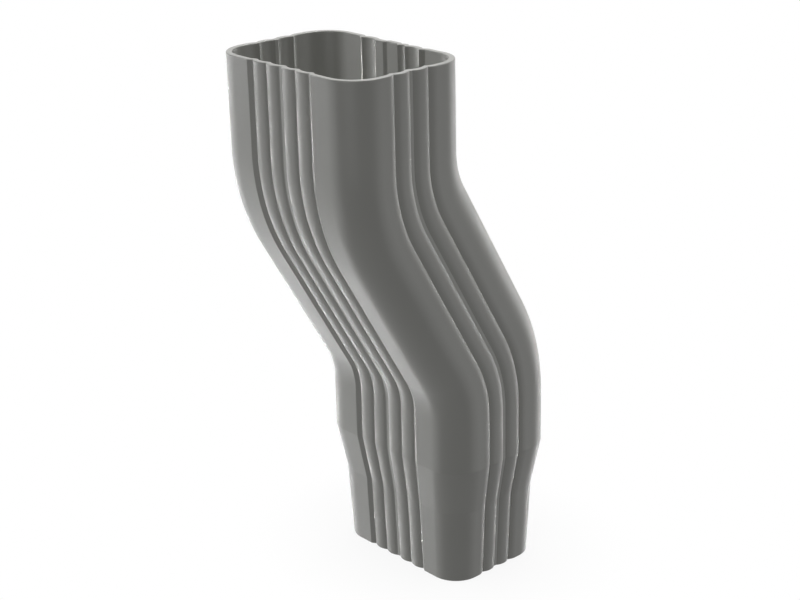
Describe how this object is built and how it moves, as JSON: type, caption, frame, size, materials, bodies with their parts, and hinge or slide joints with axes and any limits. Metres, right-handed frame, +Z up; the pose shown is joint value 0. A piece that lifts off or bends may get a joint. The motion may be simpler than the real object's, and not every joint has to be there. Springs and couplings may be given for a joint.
{
  "type": "downpipe offset bend",
  "caption": "Rectangular fluted downpipe offset bend, one moulded piece: upper socket, double bend, swage and tapered lower spigot.",
  "frame": {"origin": "centre of the bounding box's base: on the plane of the spigot's end, midway between the upper and the lower pipe axis", "axes": "+Z up along both straight pipe ends, from the spigot to the socket; +Y towards the side that the spigot is offset to; X across the wide faces, which look along -Y and +Y"},
  "size_m": [0.0826, 0.1054, 0.2231],
  "materials": {
    "pipe_plastic": "smooth grey moulded plastic with a soft satin sheen"
  },
  "bodies": {
    "root": {"offset_bend": "pipe_plastic"}
  },
  "joints": []
}
